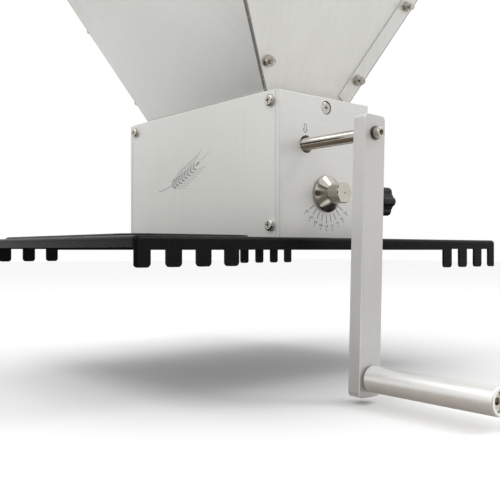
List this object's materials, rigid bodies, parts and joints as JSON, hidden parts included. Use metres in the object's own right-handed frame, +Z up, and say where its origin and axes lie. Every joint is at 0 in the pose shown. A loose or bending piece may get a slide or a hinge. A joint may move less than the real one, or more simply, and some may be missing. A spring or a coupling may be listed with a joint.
{
  "type": "grain mill",
  "caption": "Hand-cranked grain mill with knurled rollers in an aluminium housing, a flared sheet hopper and a black toothed base plate that sits on a bucket.",
  "frame": {"origin": "centre of the base plate's underside, where it rests on the bucket's rim", "axes": "+X along the rollers towards the crank, -Y towards the front cover, +Z up"},
  "size_m": [0.4451, 0.406, 0.4359],
  "materials": {
    "housing_aluminium": "bead-blasted, clear anodised",
    "cover_aluminium": "bead-blasted, clear anodised sheet",
    "hopper_aluminium": "satin rolled sheet",
    "black_powder_coat": "satin powder coat",
    "roller_steel": "turned, knurled working faces",
    "bronze": "plain oiled bronze",
    "polished_steel": "turned and polished stainless",
    "screw_steel": "bright plated",
    "crank_aluminium": "fine satin, anodised",
    "grip_aluminium": "fine turned satin",
    "dark_steel": "black oxide",
    "black_plastic": "ribbed moulded plastic"
  },
  "bodies": {
    "mill_body": {"base_plate": "black_powder_coat", "base_screws": "screw_steel", "end_plate_right": "housing_aluminium", "end_plate_left": "housing_aluminium", "front_cover": "cover_aluminium", "back_cover": "cover_aluminium", "cover_screws": "screw_steel", "hopper_panel_right": "hopper_aluminium", "hopper_panel_left": "hopper_aluminium", "hopper_panel_front": "hopper_aluminium", "hopper_panel_back": "hopper_aluminium", "hopper_screws": "screw_steel", "hopper_washers": "screw_steel", "hopper_nuts": "screw_steel", "hopper_mount_screws": "screw_steel", "hopper_mount_nuts": "screw_steel", "roller_bushings": "bronze"},
    "crank": {"drive_roller": "roller_steel", "crank_arm": "crank_aluminium", "crank_washer": "dark_steel", "crank_screw": "screw_steel", "crank_set_screw": "screw_steel", "handle_axle": "screw_steel", "handle_spacer": "dark_steel", "handle_nut": "dark_steel"},
    "handle": {"handle_grip": "grip_aluminium"},
    "passive_roller_body": {"passive_roller": "roller_steel"},
    "gap_adjuster_right_body": {"gap_adjuster_right": "polished_steel", "adjuster_bushing_right": "bronze"},
    "gap_adjuster_left_body": {"gap_adjuster_left": "polished_steel", "adjuster_bushing_left": "bronze"},
    "lower_roller_body": {"lower_roller": "roller_steel"},
    "lock_knob_right_body": {"lock_knob_right": "black_plastic", "lock_stud_right": "screw_steel"},
    "lock_knob_left_body": {"lock_knob_left": "black_plastic", "lock_stud_left": "screw_steel"}
  },
  "joints": [
    {"name": "crank_turn", "type": "hinge", "parent": "mill_body", "child": "crank", "pos_m": [0, -0.0233, 0.079], "axis": [1, 0, 0], "continuous": true},
    {"name": "handle_spin", "type": "hinge", "parent": "crank", "child": "handle", "pos_m": [0.1889, -0.02867, -0.10192], "axis": [1, 0, 0], "continuous": true},
    {"name": "passive_roller_spin", "type": "hinge", "parent": "mill_body", "child": "passive_roller_body", "pos_m": [0, 0.0233, 0.079], "axis": [1, 0, 0], "continuous": true},
    {"name": "gap_adjust_right", "type": "hinge", "parent": "mill_body", "child": "gap_adjuster_right_body", "pos_m": [0.1, 0, 0.0393], "axis": [1, 0, 0], "range_deg": [-75, 75]},
    {"name": "gap_adjust_left", "type": "hinge", "parent": "mill_body", "child": "gap_adjuster_left_body", "pos_m": [-0.1, 0, 0.0393], "axis": [1, 0, 0], "range_deg": [-75, 75]},
    {"name": "lower_roller_spin", "type": "hinge", "parent": "gap_adjuster_right_body", "child": "lower_roller_body", "pos_m": [0, -0.00073, 0.03887], "axis": [1, 0, 0], "continuous": true},
    {"name": "lock_knob_right_turn", "type": "hinge", "parent": "mill_body", "child": "lock_knob_right_body", "pos_m": [0.106, 0.06, 0.037], "axis": [0, 1, 0], "range_deg": [0, 360]},
    {"name": "lock_knob_left_turn", "type": "hinge", "parent": "mill_body", "child": "lock_knob_left_body", "pos_m": [-0.106, 0.06, 0.037], "axis": [0, 1, 0], "range_deg": [0, 360]}
  ],
  "couplings": [
    {"joint": "passive_roller_spin", "follows": "crank_turn", "ratio": -1},
    {"joint": "lower_roller_spin", "follows": "crank_turn", "ratio": -1},
    {"joint": "gap_adjust_left", "follows": "gap_adjust_right", "ratio": 1}
  ]
}
